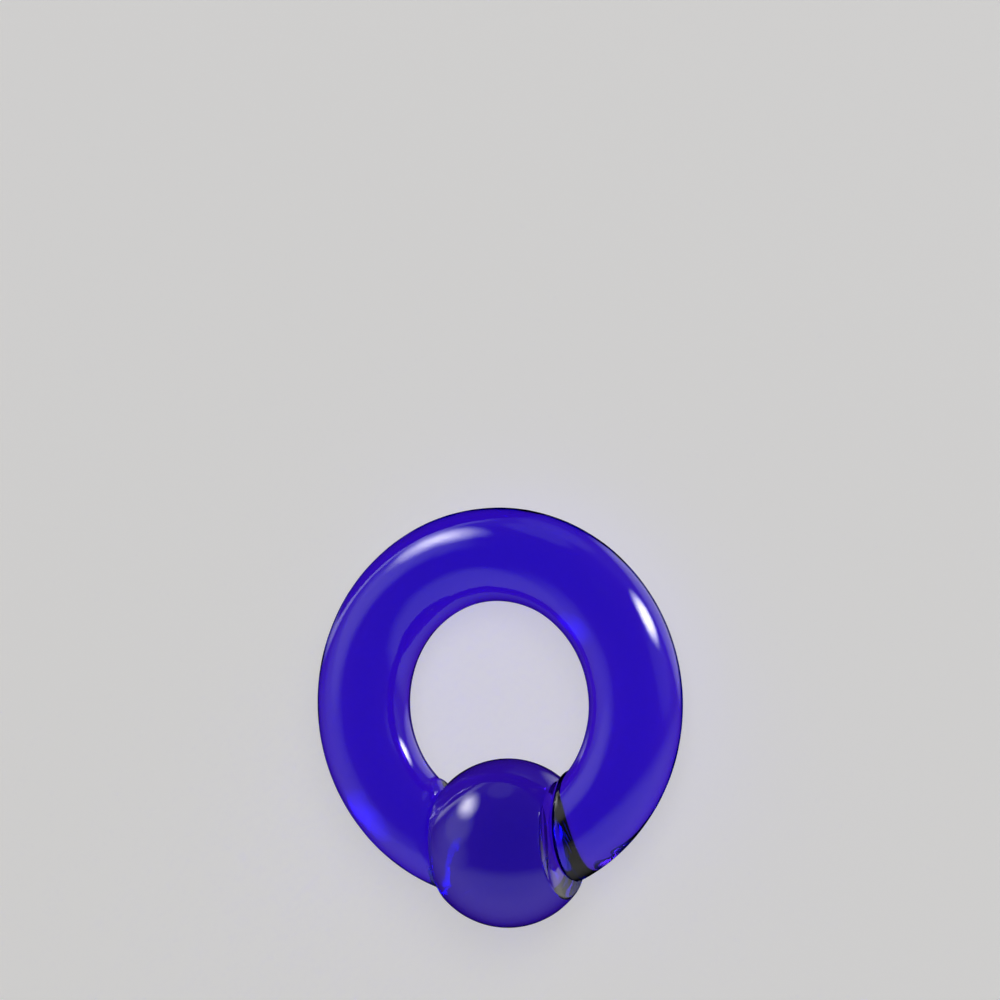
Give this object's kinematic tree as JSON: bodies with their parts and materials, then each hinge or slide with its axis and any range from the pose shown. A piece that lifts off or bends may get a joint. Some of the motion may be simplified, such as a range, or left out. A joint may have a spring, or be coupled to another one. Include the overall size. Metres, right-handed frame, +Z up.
{
  "type": "captive bead ring",
  "caption": "Large-gauge glass captive bead ring: a round tube bent into a ring, with a dished ball pinched in its gap.",
  "frame": {"origin": "on the surface that the ring lies on, under the centre of its bounding box", "axes": "+Z up, +X along the axis that the bead turns on, +Y from the bead to the far side of the ring"},
  "size_m": [0.0417, 0.0444, 0.018],
  "materials": {
    "ring_glass": "clear cobalt blue, fire-polished",
    "bead_glass": "clear cobalt blue, fire-polished"
  },
  "bodies": {
    "ring": {"ring": "ring_glass"},
    "bead": {"bead": "bead_glass"}
  },
  "joints": [
    {"name": "bead_spin", "type": "hinge", "parent": "ring", "child": "bead", "pos_m": [0, -0.01319, 0.009], "axis": [1, 0, 0], "continuous": true}
  ]
}
